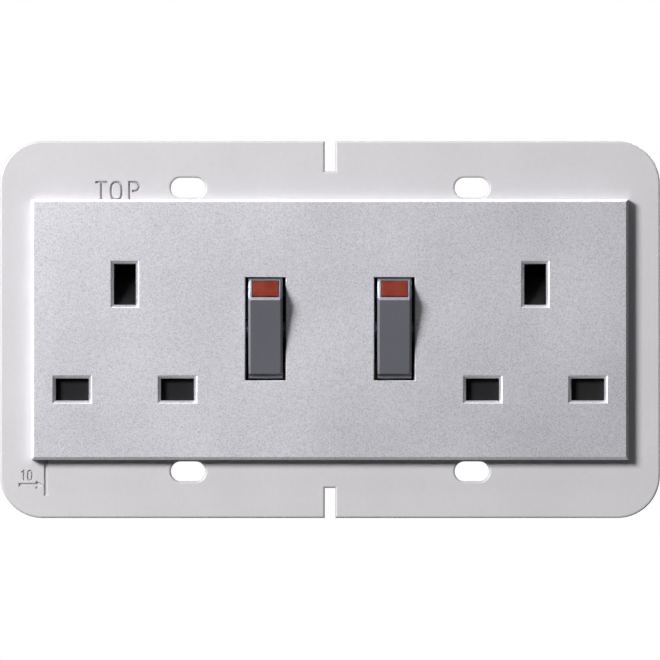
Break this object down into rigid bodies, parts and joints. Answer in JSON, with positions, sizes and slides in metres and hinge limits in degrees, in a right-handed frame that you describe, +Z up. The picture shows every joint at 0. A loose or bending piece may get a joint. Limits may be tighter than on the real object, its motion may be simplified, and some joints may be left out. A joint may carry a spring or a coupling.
{
  "type": "twin switched wall socket",
  "caption": "Switched twin outlet for flat three-pin plugs on a slotted support plate, with neon rockers, pin shutters, brass contacts and rear screw terminals.",
  "frame": {"origin": "centre of the four fixing slots on the support plate's back face, the plane of the wall", "axes": "+X to the right seen from the front, +Y into the wall, +Z up"},
  "size_m": [0.1396, 0.0303, 0.0798],
  "materials": {
    "plate_metal": "satin zinc",
    "cover_silver": "silver metallic lacquer",
    "insulator_black": "moulded",
    "housing_grey": "moulded",
    "rocker_dark": "anthracite metallic",
    "lens_red": "clear red",
    "brass": "rolled",
    "screw_steel": "zinc",
    "spring_steel": "drawn wire",
    "plunger_plastic": "moulded",
    "lamp_glass": "clear",
    "resistor_body": "lacquer"
  },
  "bodies": {
    "socket": {"earth_busbar": "brass", "earth_rivet": "screw_steel", "earth_strap": "brass", "front_cover": "cover_silver", "front_insulator": "insulator_black", "housing_screws": "screw_steel", "left_contact_carrier": "insulator_black", "left_earth_contact": "brass", "left_earth_terminal": "brass", "left_live_contact": "brass", "left_neon_lamp": "lamp_glass", "left_neutral_contact": "brass", "left_resistor": "resistor_body", "left_shutter_spring": "spring_steel", "live_busbar": "brass", "live_terminal": "brass", "neutral_busbar": "brass", "neutral_terminal": "brass", "rear_housing": "housing_grey", "right_contact_carrier": "insulator_black", "right_earth_contact": "brass", "right_earth_terminal": "brass", "right_live_contact": "brass", "right_neon_lamp": "lamp_glass", "right_neutral_contact": "brass", "right_resistor": "resistor_body", "right_shutter_spring": "spring_steel", "support_plate": "plate_metal", "terminal_screws": "screw_steel"},
    "left_rocker": {"left_rocker": "rocker_dark", "left_rocker_lens": "lens_red", "left_live_plunger": "plunger_plastic", "left_live_plunger_spring": "spring_steel", "left_neutral_plunger": "plunger_plastic", "left_neutral_plunger_spring": "spring_steel"},
    "left_bridges": {"left_live_bridge": "brass", "left_neutral_bridge": "brass"},
    "left_shutter": {"left_shutter": "insulator_black"},
    "right_rocker": {"right_rocker": "rocker_dark", "right_rocker_lens": "lens_red", "right_live_plunger": "plunger_plastic", "right_live_plunger_spring": "spring_steel", "right_neutral_plunger": "plunger_plastic", "right_neutral_plunger_spring": "spring_steel"},
    "right_bridges": {"right_live_bridge": "brass", "right_neutral_bridge": "brass"},
    "right_shutter": {"right_shutter": "insulator_black"}
  },
  "joints": [
    {"name": "left_rocker_hinge", "type": "hinge", "parent": "socket", "child": "left_rocker", "pos_m": [-0.0136, -0.001, 0], "axis": [1, 0, 0], "range_deg": [-14, 0]},
    {"name": "left_bridge_hinge", "type": "hinge", "parent": "socket", "child": "left_bridges", "pos_m": [-0.0136, 0.00775, 0], "axis": [1, 0, 0], "range_deg": [0, 10]},
    {"name": "left_shutter_slide", "type": "slide", "parent": "socket", "child": "left_shutter", "axis": [0, 0, -1], "range_m": [0, 0.0058], "stiffness_N_per_m": 60, "springref_m": -0.003, "deforming": ["left_shutter_spring"]},
    {"name": "right_rocker_hinge", "type": "hinge", "parent": "socket", "child": "right_rocker", "pos_m": [0.0136, -0.001, 0], "axis": [1, 0, 0], "range_deg": [-14, 0]},
    {"name": "right_bridge_hinge", "type": "hinge", "parent": "socket", "child": "right_bridges", "pos_m": [0.0136, 0.00775, 0], "axis": [1, 0, 0], "range_deg": [0, 10]},
    {"name": "right_shutter_slide", "type": "slide", "parent": "socket", "child": "right_shutter", "axis": [0, 0, -1], "range_m": [0, 0.0058], "stiffness_N_per_m": 60, "springref_m": -0.003, "deforming": ["right_shutter_spring"]}
  ],
  "couplings": [
    {"joint": "left_bridge_hinge", "follows": "left_rocker_hinge", "ratio": -0.714},
    {"joint": "right_bridge_hinge", "follows": "right_rocker_hinge", "ratio": -0.714}
  ]
}
